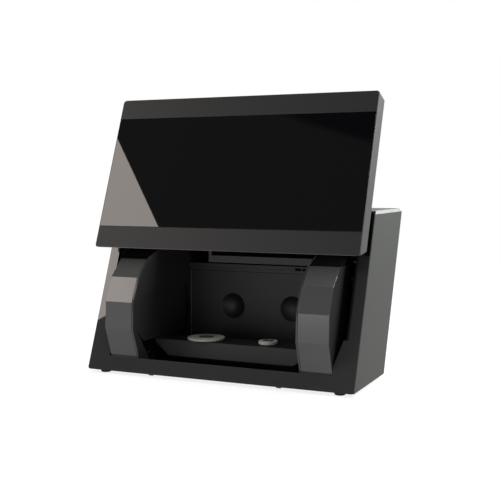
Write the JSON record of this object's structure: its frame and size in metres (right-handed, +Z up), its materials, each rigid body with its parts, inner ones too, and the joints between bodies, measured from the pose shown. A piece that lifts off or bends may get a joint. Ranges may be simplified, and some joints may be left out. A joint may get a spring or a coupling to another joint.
{
  "type": "desktop 3d scanner",
  "caption": "Bench scanner with a leaning casing, a sliding front door, faceted wings and a tilting cradle with turntables in an open scan chamber.",
  "frame": {"origin": "floor level under the middle of the machine's bounding box", "axes": "+X across the front to the right, +Y to the rear, +Z up"},
  "size_m": [0.4106, 0.2882, 0.4061],
  "materials": {
    "satin_shell": "satin",
    "side_satin": "satin",
    "gloss_frame": "high gloss",
    "dark_window": "mirror gloss",
    "wing_gloss": "semi gloss",
    "chamber_black": "matte",
    "zinc_sheet": "zinc plated",
    "machined_steel": "machined",
    "pale_plate": "matte",
    "black_electrical": "matte",
    "optics_body": "black anodised",
    "lens_glass": "gloss",
    "circuit_board": "solder mask",
    "foot_rubber": "matte",
    "belt_rubber": "matte"
  },
  "bodies": {
    "housing": {"base_plate": "zinc_sheet", "side_panel_right": "side_satin", "side_panel_left": "side_satin", "top_cover": "satin_shell", "rear_housing": "satin_shell", "rear_cover": "satin_shell", "power_inlet": "black_electrical", "data_socket": "zinc_sheet", "switch_body": "black_electrical", "chassis_side_right": "zinc_sheet", "chassis_side_left": "zinc_sheet", "head_beam": "zinc_sheet", "head_cover": "chamber_black", "chamber_wall": "chamber_black", "wall_rail": "chamber_black", "wing_shell_right": "wing_gloss", "wing_shell_left": "wing_gloss", "wing_cheek_right": "chamber_black", "wing_cheek_left": "chamber_black", "bearing_block_right": "zinc_sheet", "bearing_block_left": "zinc_sheet", "swing_bearing_right": "machined_steel", "swing_bearing_left": "machined_steel", "motor_bracket": "zinc_sheet", "swing_motor": "machined_steel", "power_supply": "zinc_sheet", "main_board": "circuit_board", "fan_housing": "chamber_black", "foot_front_right": "foot_rubber", "foot_front_left": "foot_rubber", "foot_rear_right": "foot_rubber", "foot_rear_left": "foot_rubber", "projector_body": "optics_body", "projector_lens": "lens_glass", "camera_body_right": "optics_body", "camera_body_left": "optics_body", "camera_lens_right": "lens_glass", "camera_lens_left": "lens_glass", "front_frame": "gloss_frame", "door_rail_right": "zinc_sheet", "door_rail_left": "zinc_sheet"},
    "door": {"door_shell": "satin_shell", "door_window": "dark_window", "door_arm_right": "chamber_black", "door_arm_left": "chamber_black", "door_carriage_right": "chamber_black", "door_carriage_left": "chamber_black"},
    "cradle": {"swing_plate_right": "chamber_black", "swing_plate_left": "chamber_black", "swing_sector": "machined_steel", "cradle_beam": "chamber_black", "beam_cover": "chamber_black", "plate_motor": "machined_steel", "plate_belt": "belt_rubber"},
    "pinion": {"swing_pinion": "machined_steel"},
    "turntable_left": {"turntable_left": "pale_plate"},
    "turntable_right": {"turntable_right": "pale_plate"},
    "plate_drive": {"drive_pulley": "machined_steel"},
    "fan": {"fan_rotor": "chamber_black"},
    "rocker": {"power_rocker": "black_electrical"}
  },
  "joints": [
    {"name": "door_slide", "type": "slide", "parent": "housing", "child": "door", "axis": [0, 0.3616, 0.9323], "range_m": [-0.166, 0]},
    {"name": "cradle_swing", "type": "hinge", "parent": "housing", "child": "cradle", "pos_m": [0, -0.04642, 0.0835], "axis": [1, 0, 0], "range_deg": [-60, 60]},
    {"name": "pinion_spin", "type": "hinge", "parent": "housing", "child": "pinion", "pos_m": [0.144, 0.00237, 0.13229], "axis": [1, 0, 0], "range_deg": [-401, 401]},
    {"name": "turntable_left_spin", "type": "hinge", "parent": "cradle", "child": "turntable_left", "pos_m": [-0.05, -0.05892, 0.048], "axis": [0, 0, 1], "continuous": true},
    {"name": "turntable_right_spin", "type": "hinge", "parent": "cradle", "child": "turntable_right", "pos_m": [0.05, -0.05892, 0.048], "axis": [0, 0, 1], "continuous": true},
    {"name": "drive_pulley_spin", "type": "hinge", "parent": "cradle", "child": "plate_drive", "pos_m": [0, -0.05892, 0.031], "axis": [0, 0, 1], "continuous": true},
    {"name": "fan_spin", "type": "hinge", "parent": "housing", "child": "fan", "pos_m": [0.06, 0.12928, 0.103], "axis": [0, 1, 0], "continuous": true},
    {"name": "rocker_tip", "type": "hinge", "parent": "housing", "child": "rocker", "pos_m": [-0.068, 0.13668, 0.035], "axis": [1, 0, 0], "range_deg": [-16, 0]}
  ],
  "couplings": [
    {"joint": "pinion_spin", "follows": "cradle_swing", "ratio": -6.6667},
    {"joint": "turntable_right_spin", "follows": "turntable_left_spin", "ratio": 1},
    {"joint": "drive_pulley_spin", "follows": "turntable_left_spin", "ratio": 1}
  ]
}
